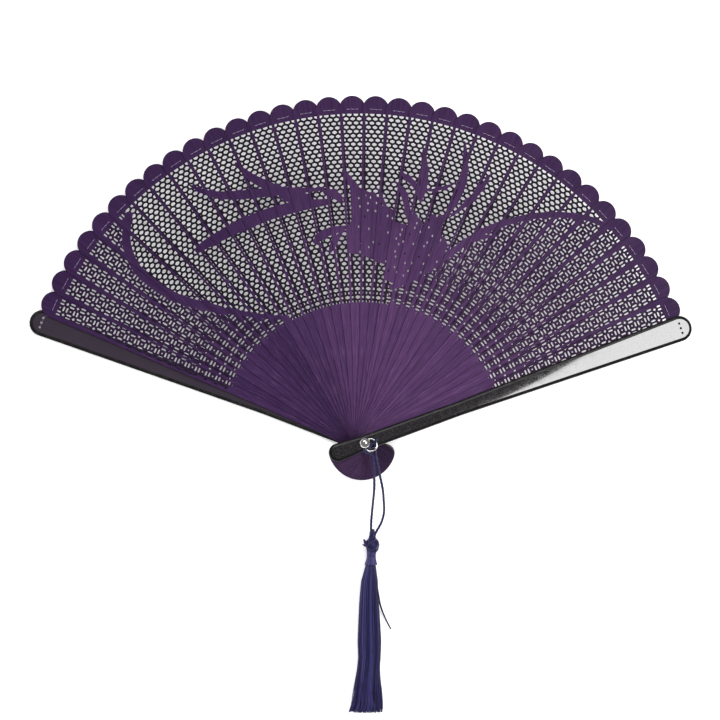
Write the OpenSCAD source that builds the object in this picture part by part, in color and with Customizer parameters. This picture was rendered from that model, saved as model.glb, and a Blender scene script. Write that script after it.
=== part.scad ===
// A folding fan of pierced wooden sticks between two lacquered guards, with a rivet and a tassel.
// It lies open on its rear guard. The rivet runs up +Z through the origin, +Y points up the fan,
// and z = 0 is the plane it rests on. Sticks are stacked from the rear guard (left, lowest) to
// the front guard (right, highest), so each one lies on top of its left neighbour.

/* [Sticks] */
// Number of thin sticks between the two guards
stick_count = 34; // [24:1:36]
// Distance from the rivet to the tip of a stick
stick_reach = 188; // [180:0.5:189]
// Thickness of one stick
stick_thickness = 0.5; // [0.4:0.05:0.6]
// Free space between two sticks in the stack
stick_gap = 0.05; // [0.05:0.01:0.1]
// Width of a stick at its rounded tip
stick_tip_width = 14.3; // [13:0.1:15]
// Width of sticks and guards at their narrowest place
neck_width = 7.6; // [7:0.1:8]
// Distance from the rivet to the narrowest place
neck_reach = 55; // [45:1:65]
// Width of sticks and guards at the rivet
pivot_width = 8.2; // [7.8:0.1:9]
// Width of the rounded tails below the rivet
tail_width = 9.8; // [9:0.1:10.5]
// Distance from the rivet to the end of a tail
tail_reach = 20; // [18:0.5:22]

/* [Piercing] */
// Distance from the rivet to the outer end of the pierced field
field_outer = 178; // [175:0.5:178]
// Distance from the rivet to the inner end of the pierced field
field_inner = 76; // [70:1:90]
// Number of window rows along one stick
window_rows = 20; // [12:1:24]
// Solid rim along each side of a stick
rim_width = 1.6; // [1.2:0.1:2]
// Width of the bars between windows
bar_width = 1.1; // [0.8:0.1:1.5]

/* [Guards] */
// Thickness of a guard
guard_thickness = 2.4; // [2:0.1:3]
// Distance from the rivet to the tip of a guard
guard_reach = 190; // [189:0.5:192]
// Width of a guard at its tip
guard_tip_width = 14; // [13:0.1:15]
// Width of the low rim round the raised panel of a guard
panel_inset = 0.6; // [0.3:0.1:0.8]
// Height of that panel above its rim
panel_step = 0.4; // [0.2:0.1:0.6]
// Distance from the rivet to the three thread holes of a guard
pinhole_reach = 183.6; // [180:0.2:185]
// Diameter of a thread hole in a guard
pinhole_d = 1.3; // [1:0.1:1.6]

/* [Opening] */
// Direction of the front guard, counted from +X
front_guard_angle = 19.85; // [15:0.05:30]
// Direction of the stick next to the front guard
last_stick_angle = 23.5; // [20:0.1:35]
// Direction of the stick next to the rear guard
first_stick_angle = 155.8; // [145:0.1:156]
// Direction of the rear guard
rear_guard_angle = 159.4; // [150:0.1:165]

/* [Thread] */
// Distance from the rivet to the thread slits of a stick
slit_reach = 180.7; // [180:0.1:182]
// Distance between two slits, and between two thread holes of a guard
slit_pitch = 2.7; // [2.5:0.1:3]
// Length of a slit across the stick
slit_length = 1.4; // [1.2:0.1:1.6]
// Width of a slit along the stick
slit_width = 0.7; // [0.6:0.1:0.9]
// Diameter of the linking thread
thread_d = 0.3; // [0.2:0.05:0.35]

/* [Rivet and ring] */
// Diameter of the rivet shank
shank_d = 2; // [1.5:0.1:2.5]
// Radial clearance of the shank in every bore
shank_clearance = 0.05; // [0.02:0.01:0.1]
// Diameter of the flush rear head
rear_head_d = 6; // [5:0.1:6.5]
// Thickness of the flush rear head
rear_head_thickness = 0.9; // [0.6:0.1:1.2]
// Diameter of the domed cap
cap_d = 5.4; // [5:0.1:6]
// Height of the straight rim of the cap
cap_rim = 0.35; // [0.2:0.05:0.6]
// Height of the dome on the cap
cap_dome = 1.5; // [1:0.1:2]
// Mean diameter of the tassel ring
ring_mean_d = 6.6; // [6:0.1:7.5]
// Thickness of the ring's wire
ring_wire_d = 1; // [0.8:0.1:1.2]
// Direction in which the ring lies, counted from +X
ring_angle = -19.3; // [-60:0.1:0]
// Upward slope of the ring, which leaves room for the cord under it
ring_tilt = 12; // [10:1:12]
// Diameter of the eye that turns on the shank
eye_d = 4; // [3.6:0.1:4.4]

/* [Tassel] */
// Diameter of the hanging cord
cord_d = 1.2; // [1:0.1:1.2]
// Width of the knot
knot_width = 8.4; // [7.8:0.1:10]
// Length of the knot along the cord
knot_length = 8.6; // [8:0.1:9]
// Diameter of the binding under the knot
neck_d = 4.6; // [4:0.1:5]
// Length of the binding under the knot
neck_length = 5.6; // [5:0.1:6]
// Width of the skirt at its lower end
skirt_width = 18.6; // [16:0.1:20]
// Length of the skirt
skirt_length = 80.5; // [70:0.5:90]

/* [Hidden] */
$fn = 64;
bore_d = shank_d + 2 * shank_clearance;
washer_thickness = 0.4;
stick_pitch = stick_thickness + stick_gap;
stack_base = guard_thickness + washer_thickness + 2 * stick_gap;
front_guard_base = stack_base + stick_count * stick_pitch;
front_face = front_guard_base + guard_thickness;
eye_thickness = 1.5;
eye_base = front_face + 0.1;
cap_base = eye_base + eye_thickness + 0.05;
shank_top = cap_base + 0.85;
stick_step = (first_stick_angle - last_stick_angle) / (stick_count - 1);
wire_height = front_face + 0.05 + ring_wire_d / 2;
stick_color = [0.31, 0.18, 0.43];
guard_color = [0.10, 0.09, 0.11];
metal_color = [0.80, 0.80, 0.82];
cord_color = [0.16, 0.15, 0.42];

// Cord routes, chosen by hand: the two strands hang from the ring, clear the tails and drop to the table.
cord_height = front_face + 0.65;
left_route = [
    [4.6, -7, cord_height], [4.9, -13, cord_height], [5.2, -21, cord_height], [5.3, -26, 22.5],
    [5.4, -31, 17.5], [5.5, -36, 12.5], [5.5, -41, 8.5], [5.6, -46, 6], [6, -51, 5.2]
];
right_route = [
    [6, -7, cord_height], [7.2, -13, cord_height], [8.8, -20, cord_height], [10, -25, 22.8],
    [11.2, -31, 17], [12.1, -37, 11], [11.2, -42.5, 7.4], [9, -47, 5.8], [7, -51, 5.2]
];
// The loop of the same cord: in through the ring, over its wire, back and round below the cap.
hitch_route = [
    [6, -7, cord_height], [5.9, -5, cord_height], [5.6, -3.4, cord_height + 0.1],
    [5.4, -1.8, cord_height + 0.5], [5.4, -0.4, cord_height + 1.2], [5.6, 0.8, cord_height + 2],
    [6.4, 2, cord_height + 1.9], [7, 2.3, cord_height + 0.9], [6.2, 1.6, cord_height + 0.1],
    [4.9, 0.5, cord_height], [3.7, -1, cord_height], [2, -2.7, cord_height],
    [-0.2, -3.2, cord_height], [-0.7, -4.2, cord_height], [0.4, -5, cord_height],
    [2.8, -5.6, cord_height], [4.6, -7, cord_height]
];
knot_center = [6.5, -55.2, 4.6];
neck_center = [5.9, -62.2, 3.7];
skirt_top = [5.9, -64.9, 3.7];
skirt_middle = [4.8, -102, 3];
skirt_bottom = [3.1, -64.9 - skirt_length, 2];

function two_digits(k) = k < 10 ? str("0", k) : str(k);
function stick_name(k) = str("stick_", two_digits(k));
function stick_angle(k) = first_stick_angle - (k - 1) * stick_step;
function stick_base(k) = stack_base + (k - 1) * stick_pitch;
function unit(v) = v / norm(v);

// Half the width of a stick at a distance from the rivet, beyond the neck.
function half_width(x) =
    (neck_width + (stick_tip_width - neck_width) * (x - neck_reach)
    / (stick_reach - stick_tip_width / 2 - neck_reach)) / 2;

// Outline of a stick or a guard, with its tip along +X, drawn in by an inset all round.
module blade_outline(reach, tip_width, inset = 0) {
    tip_x = reach - tip_width / 2;
    tail_x = tail_width / 2 - tail_reach;
    side = [
        [tip_x, tip_width / 2 - inset], [neck_reach, neck_width / 2 - inset],
        [0, pivot_width / 2 - inset], [tail_x, tail_width / 2 - inset]
    ];
    polygon(concat(side, [for (k = [3:-1:0]) [side[k][0], -side[k][1]]]));
    translate([tip_x, 0])
        circle(d = tip_width - 2 * inset);
    translate([tail_x, 0])
        circle(d = tail_width - 2 * inset);
}

// Two columns of windows, which narrow with the stick.
module windows() {
    pitch = (field_outer - field_inner) / window_rows;
    for (row = [0:window_rows - 1]) {
        x = field_inner + row * pitch;
        inner = half_width(x) - rim_width;
        for (side = [-1, 1])
            translate([x + bar_width / 2, side > 0 ? bar_width / 2 : -inner])
                square([pitch - bar_width, inner - bar_width / 2]);
    }
}

module slits() {
    for (place = [-1:1])
        translate([slit_reach - slit_width / 2, place * slit_pitch - slit_length / 2])
            square([slit_width, slit_length]);
}

// One thin pierced stick, turning on the rivet.
module stick(k) {
    color(stick_color)
        rotate([0, 0, stick_angle(k)])
            translate([0, 0, stick_base(k)])
                linear_extrude(stick_thickness)
                    difference() {
                        blade_outline(stick_reach, stick_tip_width);
                        circle(d = bore_d);
                        windows();
                        slits();
                    }
}

// A guard with its tip along +X and a panel, raised inside a low rim, on its upper outer face.
module guard_body() {
    difference() {
        union() {
            linear_extrude(guard_thickness - panel_step)
                blade_outline(guard_reach, guard_tip_width);
            linear_extrude(guard_thickness)
                blade_outline(guard_reach, guard_tip_width, panel_inset);
        }
        translate([0, 0, -1])
            cylinder(h = guard_thickness + 2, d = bore_d);
        for (place = [-1:1])
            translate([pinhole_reach, place * slit_pitch, -1])
                cylinder(h = guard_thickness + 2, d = pinhole_d);
    }
}

// The lower guard, outer face down, with a sunk seat for the rear head of the rivet.
module rear_guard() {
    color(guard_color)
        difference() {
            rotate([0, 0, rear_guard_angle])
                translate([0, 0, guard_thickness])
                    rotate([180, 0, 0])
                        guard_body();
            translate([0, 0, -1])
                cylinder(h = 1 + rear_head_thickness + 0.05, d = rear_head_d + 0.1);
        }
}

module front_guard() {
    color(guard_color)
        rotate([0, 0, front_guard_angle])
            translate([0, 0, front_guard_base])
                guard_body();
}

// Flush rear head and shank, in one piece.
module rivet_stud() {
    color(metal_color) {
        cylinder(h = rear_head_thickness, d = rear_head_d);
        cylinder(h = shank_top, d = shank_d);
    }
}

// Washer that keeps the first stick clear of the thread on the rear guard.
module rear_washer() {
    color(metal_color)
        translate([0, 0, guard_thickness + stick_gap])
            difference() {
                cylinder(h = washer_thickness, d = 5);
                translate([0, 0, -1])
                    cylinder(h = washer_thickness + 2, d = bore_d);
            }
}

// Domed cap pressed on the end of the shank.
module rivet_cap() {
    sphere_r = (pow(cap_d / 2, 2) + pow(cap_dome, 2)) / (2 * cap_dome);
    color(metal_color)
        translate([0, 0, cap_base])
            difference() {
                union() {
                    cylinder(h = cap_rim, d = cap_d);
                    translate([0, 0, cap_rim])
                        rotate_extrude()
                            intersection() {
                                translate([0, cap_dome - sphere_r])
                                    circle(r = sphere_r);
                                square([cap_d / 2, cap_dome]);
                            }
                }
                translate([0, 0, -1])
                    cylinder(h = shank_top - cap_base + 1.05, d = bore_d);
            }
}

// Wire ring closed onto an eye, which swivels on the shank under the cap.
module tassel_ring() {
    color(metal_color)
        difference() {
            union() {
                translate([0, 0, eye_base])
                    cylinder(h = eye_thickness, d = eye_d);
                rotate([0, 0, ring_angle])
                    translate([0, 0, wire_height])
                        rotate([0, -ring_tilt, 0])
                            translate([ring_mean_d / 2 + 0.1, 0, 0])
                                rotate_extrude()
                                    translate([ring_mean_d / 2, 0])
                                        circle(d = ring_wire_d, $fn = 32);
            }
            translate([0, 0, eye_base - 1])
                cylinder(h = eye_thickness + 2, d = bore_d);
        }
}

// Points on a smooth curve through a route, with a number of steps between neighbours.
function smooth(route, steps) = concat(
    [for (k = [0:len(route) - 2], s = [0:steps - 1])
        let (
            a = route[max(k - 1, 0)],
            b = route[k],
            c = route[k + 1],
            d = route[min(k + 2, len(route) - 1)],
            t = s / steps
        )
        b + t / 2 * (c - a + t * (2 * a - 5 * b + 4 * c - d + t * (3 * (b - c) + d - a)))],
    [route[len(route) - 1]]
);

// Round tube along a list of points, closed at both ends.
module tube(path, diameter, sides) {
    last = len(path) - 1;
    ways = [for (k = [0:last]) unit(path[min(k + 1, last)] - path[max(k - 1, 0)])];
    first_side = unit(cross(ways[0], abs(ways[0][2]) > 0.7 ? [1, 0, 0] : [0, 0, 1]));
    across = [
        for (
            k = 0, side = first_side;
            k <= last;
            k = k + 1,
            side = k > last ? side : unit(side - (side * ways[k]) * ways[k])
        ) side
    ];
    points = [
        for (k = [0:last], s = [0:sides - 1])
            path[k] + diameter / 2 * (cos(360 * s / sides) * across[k]
            + sin(360 * s / sides) * cross(ways[k], across[k]))
    ];
    walls = [
        for (k = [0:last - 1], s = [0:sides - 1], half = [0, 1])
            let (
                a = k * sides + s,
                b = k * sides + (s + 1) % sides
            )
            half == 0 ? [a, a + sides, b] : [b, a + sides, b + sides]
    ];
    caps = [
        [for (s = [0:sides - 1]) s],
        [for (s = [sides - 1:-1:0]) last * sides + s]
    ];
    polyhedron(points, concat(walls, caps));
}

module tassel_cord_left() {
    color(cord_color)
        tube(smooth(left_route, 2), cord_d, 8);
}

module tassel_cord_right() {
    color(cord_color)
        tube(smooth(right_route, 2), cord_d, 8);
}

module tassel_hitch() {
    color(cord_color)
        tube(smooth(hitch_route, 2), cord_d, 8);
}

module tassel_knot() {
    color(cord_color)
        translate(knot_center)
            resize([knot_width, knot_length, 8.4])
                sphere(r = 4, $fn = 28);
}

module tassel_neck() {
    color(cord_color)
        translate(neck_center)
            rotate([90, 0, 0])
                cylinder(h = neck_length, d = neck_d, center = true);
}

// Cross-section of the skirt, as a thin upright slab.
module skirt_slab(place, width, thickness) {
    translate(place)
        rotate([90, 0, 0])
            resize([width, thickness, 0.4])
                cylinder(h = 1, d = 1, $fn = 24);
}

module tassel_skirt() {
    color(cord_color) {
        hull() {
            skirt_slab(skirt_top, 6.4, 6);
            skirt_slab(skirt_middle, 12.6, 5.4);
        }
        hull() {
            skirt_slab(skirt_middle, 12.6, 5.4);
            skirt_slab(skirt_bottom, skirt_width, 3.4);
        }
    }
}

// The thread passes up through the left slit of each stick, over its face with a dip at the
// middle slit, down through the right slit and under to the next stick.
function stitch(k) = [
    for (p = [[3.4, -0.35], [2.7, 0.25], [2.2, 0.8], [0, 0.6],
              [-2.2, 0.8], [-2.7, 0.25], [-3.4, -0.35], [-6.6, -0.35]])
        thread_point(stick_angle(k), slit_reach, p[0], stick_base(k) + p[1])
];
function thread_point(angle, reach, side, height) = [
    reach * cos(angle) - side * sin(angle),
    reach * sin(angle) + side * cos(angle),
    height
];

module linking_thread() {
    start = [
        thread_point(rear_guard_angle, pinhole_reach, 0, guard_thickness - 0.6),
        thread_point(rear_guard_angle, pinhole_reach, -0.2, guard_thickness + 0.22),
        thread_point(rear_guard_angle, slit_reach, -5.6, guard_thickness + 0.22)
    ];
    end = [
        thread_point(front_guard_angle, slit_reach + 1, 2.4, front_guard_base - 0.35),
        thread_point(front_guard_angle, pinhole_reach, 0.3, front_guard_base - 0.2),
        thread_point(front_guard_angle, pinhole_reach, 0, front_guard_base + 1.2)
    ];
    stitches = [for (k = [1:stick_count], p = stitch(k)) p];
    color([0.8, 0.78, 0.85])
        tube(concat(start, stitches, end), thread_d, 5);
}

rear_guard();
for (k = [1:stick_count])
    stick(k);
front_guard();
rivet_stud();
rear_washer();
rivet_cap();
linking_thread();
tassel_ring();
tassel_hitch();
tassel_cord_left();
tassel_cord_right();
tassel_knot();
tassel_neck();
tassel_skirt();
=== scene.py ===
import math

import bpy
import numpy as np
from mathutils import Matrix, Vector
from mathutils.geometry import delaunay_2d_cdt


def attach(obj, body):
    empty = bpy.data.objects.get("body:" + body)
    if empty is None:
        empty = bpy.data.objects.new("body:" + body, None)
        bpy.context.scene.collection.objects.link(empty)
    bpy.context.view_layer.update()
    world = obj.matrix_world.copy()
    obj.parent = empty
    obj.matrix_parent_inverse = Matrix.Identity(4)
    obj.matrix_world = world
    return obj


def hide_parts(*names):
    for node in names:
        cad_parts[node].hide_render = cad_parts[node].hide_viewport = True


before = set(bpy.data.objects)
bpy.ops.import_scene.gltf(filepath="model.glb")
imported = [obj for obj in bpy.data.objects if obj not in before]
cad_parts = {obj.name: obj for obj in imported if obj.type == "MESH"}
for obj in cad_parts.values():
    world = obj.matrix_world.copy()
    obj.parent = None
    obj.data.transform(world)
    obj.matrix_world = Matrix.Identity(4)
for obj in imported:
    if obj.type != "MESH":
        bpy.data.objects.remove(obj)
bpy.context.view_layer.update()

# ---- Table, light and camera ----------------------------------------------------
# The open fan lies on a plain white table under soft studio light: a wide soft box high on the
# right, which the lacquer of the upper guard mirrors, another behind the fan, and an even white
# room, darker to glossy surfaces than to dull ones. The table top is faintly lit from below.
TABLE_HALF, TABLE_Z = 4, -0.0003
table_mesh = bpy.data.meshes.new("table")
table_mesh.from_pydata(
    [(x * TABLE_HALF, y * TABLE_HALF, TABLE_Z) for x, y in ((-1, -1), (1, -1), (1, 1), (-1, 1))], [], [(0, 1, 2, 3)]
)
table = bpy.data.objects.new("table", table_mesh)
bpy.context.scene.collection.objects.link(table)


def add_node(tree, kind, inputs=None, **settings):
    """One shader node. Each input is a value, or another node's output to link to it."""
    made = tree.nodes.new(kind)
    for key, value in settings.items():
        setattr(made, key, value)
    for key, value in (inputs or {}).items():
        if isinstance(value, bpy.types.NodeSocket):
            tree.links.new(value, made.inputs[key])
        else:
            made.inputs[key].default_value = value
    return made


def new_finish(name, inputs=None):
    """A material with its Principled shader; the inputs are set on the shader's own sockets."""
    material = bpy.data.materials.new(name)
    material.use_nodes = True
    tree = material.node_tree
    tree.nodes.clear()
    shader = add_node(tree, "ShaderNodeBsdfPrincipled", inputs)
    add_node(tree, "ShaderNodeOutputMaterial", {"Surface": shader.outputs[0]})
    return material, tree, shader


table_white, tree, shader = new_finish(
    "table_white",
    {
        "Base Color": (0.92, 0.92, 0.925, 1), "Roughness": 0.75, "Emission Color": (1, 1, 1, 1),
        "Emission Strength": 0.27
    }
)
table_mesh.materials.append(table_white)

room = bpy.data.worlds.new("room")
room.use_nodes = True
walls = room.node_tree.nodes["Background"]
walls.inputs["Color"].default_value = (1, 1, 1, 1)
seen = add_node(room.node_tree, "ShaderNodeLightPath")
level = add_node(
    room.node_tree, "ShaderNodeMapRange", {"Value": seen.outputs["Is Glossy Ray"], "To Min": 1.05, "To Max": 0.2}
)
room.node_tree.links.new(level.outputs["Result"], walls.inputs["Strength"])
bpy.context.scene.world = room
bpy.context.scene.view_settings.view_transform = "Standard"

for name, place, aim, size, power in [
    ("soft_box_right", (0.63, 0.14, 1.49), (0.08, 0.05, 0), (0.68, 0.56), 10),
    ("soft_box_top", (-0.25, 0.95, 1.25), (0, 0.05, 0), (0.9, 0.5), 7),
]:
    box = bpy.data.lights.new(name, "AREA")
    box.shape, box.size, box.size_y, box.energy = "RECTANGLE", size[0], size[1], power
    lamp = bpy.data.objects.new(name, box)
    lamp.location = place
    lamp.rotation_euler = (Vector(aim) - Vector(place)).to_track_quat("-Z", "Y").to_euler()
    bpy.context.scene.collection.objects.link(lamp)

# The camera looks almost straight down, turned and tipped by a few degrees and shifted sideways.
CAMERA_AWAY, SHIFT_RIGHT, SHIFT_UP = 1.5, 0.00028, 0.04521
sway, lean = math.radians(6.47), math.radians(1.97)
to_right = Vector((math.cos(sway), 0, math.sin(sway)))
to_back = Vector(
    (-math.sin(sway) * math.cos(lean), -math.cos(sway) * math.sin(lean), math.cos(sway) * math.cos(lean))
).normalized()
to_top = to_back.cross(to_right)
view = bpy.data.cameras.new("camera")
view.lens, view.sensor_width, view.clip_end = 138.05, 36, 20
camera = bpy.data.objects.new("camera", view)
camera.matrix_world = Matrix.Translation(
    CAMERA_AWAY * to_back + SHIFT_RIGHT * to_right + SHIFT_UP * to_top
) @ Matrix((to_right, to_top, to_back)).transposed().to_4x4()
bpy.context.scene.collection.objects.link(camera)
bpy.context.scene.camera = camera

# ---- Rear guard -----------------------------------------------------------------
# The lower cover blade, 2.4 mm of wood: its inner face, which shows, is stained a dull
# brown-black, and its outer face is lacquered. The edges are sanded round before lacquering.
TAIL_X, TAIL_R = -15.1, 4.9          # the middle of the rounded tail, and its radius
PIVOT_HALF, NECK_HALF, NECK_X = 4.1, 3.8, 55
BORE_R = 1.05                        # the rivet's hole in every blade
GUARD = {"reach": 190, "tip": 14.0}
GUARD_THICK, BEVEL = 2.4, 1.8        # the bevel's width, in from the edge
REAR_ANGLE, FRONT_ANGLE, FRONT_BASE = 159.4, 19.85, 21.6
PINHOLE_X, PINHOLE_R = 183.6, 0.65
PINHOLES_Y = (-2.7, 0, 2.7)          # across the guard, and the same for the slits across a stick
WEB_LONGEST = 2.4                    # the longest side of a triangle that counts as a web


def half_width(x, blade):
    """Half a blade's width at x, with straight sides from tail to rivet, rivet to neck and neck to tip."""
    return np.interp(
        x, [TAIL_X, 0, NECK_X, blade["reach"] - blade["tip"] / 2], [TAIL_R, PIVOT_HALF, NECK_HALF, blade["tip"] / 2]
    )


def blade_edge(blade, inset):
    """Outline of a blade with its tip along +X, anticlockwise and drawn in by the inset: half a
    circle round the tip, the side's width at each x, half a circle round the tail, and back."""
    tip_x, tip_r = blade["reach"] - blade["tip"] / 2, blade["tip"] / 2 - inset
    turn = np.radians(np.linspace(-90, 90, 31))
    tip = np.column_stack([tip_x + tip_r * np.cos(turn), tip_r * np.sin(turn)])
    tail = np.column_stack([TAIL_X - (TAIL_R - inset) * np.cos(turn), -(TAIL_R - inset) * np.sin(turn)])
    x = np.concatenate([np.linspace(tip_x, NECK_X, 22)[1:], np.linspace(NECK_X, TAIL_X, 16)[1:-1]])
    side = np.column_stack([x, half_width(x, blade) - inset])
    return np.vstack([tip, side, tail, side[::-1] * (1, -1)])


def ring(x, y, radius, corners=20):
    """Corners of a circle, as a closed loop."""
    turn = np.arange(corners) * 2 * np.pi / corners
    return np.column_stack([x + radius * np.cos(turn), y + radius * np.sin(turn)])


def in_convex(points, loops):
    """Whether each point lies in any of the convex loops (loops x corners x 2, anticlockwise):
    a point inside is left of every side."""
    found = np.zeros(len(points), bool)
    for part in np.array_split(np.arange(len(loops)), max(1, len(loops) // 60)):
        start = loops[part][None]
        side = np.roll(loops[part], -1, axis=1)[None] - start
        to_point = points[:, None, None, :] - start
        found |= (side[..., 0] * to_point[..., 1] - side[..., 1] * to_point[..., 0] >= -1e-7).all(2).any(1)
    return found


def in_loop(points, loop):
    """Whether each point lies in a closed loop: a ray to the right crosses its sides an odd number of times."""
    a, b = loop[None], np.roll(loop, -1, axis=0)[None]
    x, y = points[:, :1], points[:, 1:]
    spans = (a[..., 1] > y) != (b[..., 1] > y)
    rise = np.where(spans, b[..., 1] - a[..., 1], 1)
    return (spans & (x < (b[..., 0] - a[..., 0]) * (y - a[..., 1]) / rise + a[..., 0])).sum(1) % 2 == 1


def cut_sheet(loops, solid):
    """Triangles of a flat sheet. The loops' lines are joined into one Delaunay mesh that keeps every
    line and crossing, and the triangles whose middle is solid stay. Gives the corners, the triangles
    (anticlockwise) and the border's edges, with the wood on their left."""
    points = np.vstack(loops)
    edges, first = [], 0
    for loop in loops:
        here = first + np.arange(len(loop))
        edges.append(np.column_stack([here, np.roll(here, -1)]))
        first += len(loop)
    made = delaunay_2d_cdt([Vector(p) for p in points.tolist()], np.vstack(edges).tolist(), [], 0, 1e-5)
    xy, faces = np.array([v[:] for v in made[0]]), np.array(made[2])
    corner = xy[faces]
    area = np.cross(corner[:, 1] - corner[:, 0], corner[:, 2] - corner[:, 0])
    faces = np.where(area[:, None] < 0, faces[:, ::-1], faces)
    faces = faces[(np.abs(area) > 1e-7) & solid(xy[faces].mean(1))]
    sides = np.vstack([faces[:, [0, 1]], faces[:, [1, 2]], faces[:, [2, 0]]])
    key, back = sides[:, 0] * len(xy) + sides[:, 1], sides[:, 1] * len(xy) + sides[:, 0]
    return xy, faces, sides[~np.isin(key, back)]


def add_piece(name, points, faces, finishes, slots=None, uv=None, marks=None, smooth=None):
    """A mesh object from corners in millimetres. faces is a list of index arrays and slots the finish
    of each array; uv holds a corner's two pattern lengths in metres, and marks its named values."""
    mesh = bpy.data.meshes.new(name)
    mesh.from_pydata((points * 0.001).tolist(), [], [f for part in faces for f in part.tolist()])
    for finish in finishes:
        mesh.materials.append(finish)
    if slots:
        index = np.concatenate([np.full(len(part), slot) for part, slot in zip(faces, slots) if len(part)])
        mesh.polygons.foreach_set("material_index", index.astype(np.int32))
    corner = np.zeros(len(mesh.loops), np.int32)
    mesh.loops.foreach_get("vertex_index", corner)
    if uv is not None:
        mesh.uv_layers.new(name="UVMap").data.foreach_set("uv", uv[corner].astype(np.float32).ravel())
    for key, values in (marks or {}).items():
        mesh.attributes.new(key, "FLOAT", "POINT").data.foreach_set(
            "value", np.broadcast_to(values, len(points)).astype(np.float32)
        )
    if smooth is not None:
        mesh.shade_smooth()
        mesh.set_sharp_from_angle(angle=math.radians(smooth))
    mesh.update()
    piece = bpy.data.objects.new(name, mesh)
    bpy.context.scene.collection.objects.link(piece)
    return piece


def make_blade(
    name, sheet, blade, inset, profile, low, high, angle, finishes, slots, shift=0.0, marks=None, smooth=None
):
    """A flat blade with shaped edges. The sheet is its face at the inset; it is laid at the heights low
    and high, the walls of its holes go straight through, and its outer wall runs through the profile's
    steps, each an outset from the face's edge and a height. It is then turned to its angle. slots gives
    the finish of the lower face, the upper face, the hole walls and the outer wall, and then of the
    webs, the small triangles between holes. marks gives named values from the flat corners."""
    xy, faces, border = sheet
    count = len(xy)
    centre = np.column_stack([np.clip(xy[:, 0], TAIL_X, blade["reach"] - blade["tip"] / 2), np.zeros(count)])
    away = xy - centre
    far = np.linalg.norm(away, axis=1)
    outer = far > half_width(centre[:, 0], blade) - inset - 0.3
    away /= np.maximum(far, 1e-9)[:, None]
    is_outer = outer[border].all(1)
    layers = [(0, low)] + list(profile) + [(0, high)]
    points = np.vstack([np.column_stack([xy + away * out, np.full(count, height)]) for out, height in layers])
    top = (len(layers) - 1) * count
    a, b = border[~is_outer].T
    holes = np.column_stack([a, b, b + top, a + top])
    a, b = border[is_outer].T
    rims = np.vstack(
        [
            np.column_stack(
                [a + k * count, b + k * count, b + (k + 1) * count, a + (k + 1) * count]
            ) for k in range(len(layers) - 1)
        ]
    )
    by_hole = np.zeros(count, bool)
    by_hole[border[~is_outer]] = True
    sides = np.linalg.norm(xy[faces] - xy[np.roll(faces, 1, 1)], axis=2)
    web = by_hole[faces].all(1) & (sides.max(1) < WEB_LONGEST) & (len(slots) > 4)
    parts = [faces[~web, ::-1], faces[~web] + top, holes, rims, faces[web, ::-1], faces[web] + top]
    used, index = np.unique(np.concatenate([p.ravel() for p in parts]), return_inverse=True)
    cuts = np.cumsum([p.size for p in parts])[:-1]
    parts = [part.reshape(old.shape) for part, old in zip(np.split(index, cuts), parts)]
    points = points[used]
    uv = np.column_stack([points[:, 0], points[:, 1] + points[:, 2] - low + shift]) * 0.001
    values = marks(points) if marks else {}
    turn = math.radians(angle)
    points = points @ np.array([[math.cos(turn), math.sin(turn), 0], [-math.sin(turn), math.cos(turn), 0], [0, 0, 1]])
    return add_piece(name, points, parts, finishes, slots[:4] + slots[4:] * 2, uv, values, smooth)


def guard_sheet(inset):
    """The flat of a guard: its edge drawn in, the rivet's hole and three small thread holes."""
    loops = [blade_edge(GUARD, inset), ring(0, 0, BORE_R), *[ring(PINHOLE_X, y, PINHOLE_R, 14) for y in PINHOLES_Y]]
    return cut_sheet(
        loops, lambda p: in_loop(p, loops[0]) & ~np.any([in_loop(p, loop) for loop in loops[1:]], axis=0)
    )


# Grain for every wooden piece: long fine streaks along the blade in two widths, and dark pores.
grain = bpy.data.node_groups.new("bamboo_grain", "ShaderNodeTree")
grain.interface.new_socket("Vector", in_out="INPUT", socket_type="NodeSocketVector")
grain.interface.new_socket("Fineness", in_out="INPUT", socket_type="NodeSocketFloat").default_value = 1
grain.interface.new_socket("Streak", in_out="OUTPUT", socket_type="NodeSocketFloat")
grain.interface.new_socket("Pores", in_out="OUTPUT", socket_type="NodeSocketFloat")
given = add_node(grain, "NodeGroupInput")
sized = add_node(
    grain, "ShaderNodeVectorMath", {0: given.outputs["Vector"], "Scale": given.outputs["Fineness"]}, operation="SCALE"
)
wide = add_node(grain, "ShaderNodeVectorMath", {0: sized.outputs[0], 1: (14, 900, 900)}, operation="MULTIPLY")
fine = add_node(grain, "ShaderNodeVectorMath", {0: sized.outputs[0], 1: (110, 3800, 3800)}, operation="MULTIPLY")
wide_noise = add_node(
    grain, "ShaderNodeTexNoise", {"Vector": wide.outputs[0], "Scale": 1, "Detail": 3, "Roughness": 0.6}
)
fine_noise = add_node(
    grain, "ShaderNodeTexNoise", {"Vector": fine.outputs[0], "Scale": 1, "Detail": 2, "Roughness": 0.5}
)
both = add_node(
    grain, "ShaderNodeMix", {"Factor": 0.45, 2: wide_noise.outputs["Fac"], 3: fine_noise.outputs["Fac"]},
    data_type="FLOAT"
)
pores = add_node(
    grain, "ShaderNodeMapRange", {"Value": fine_noise.outputs["Fac"], "From Min": 0.58, "From Max": 0.72}
)
add_node(grain, "NodeGroupOutput", {"Streak": both.outputs[0], "Pores": pores.outputs["Result"]})

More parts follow.
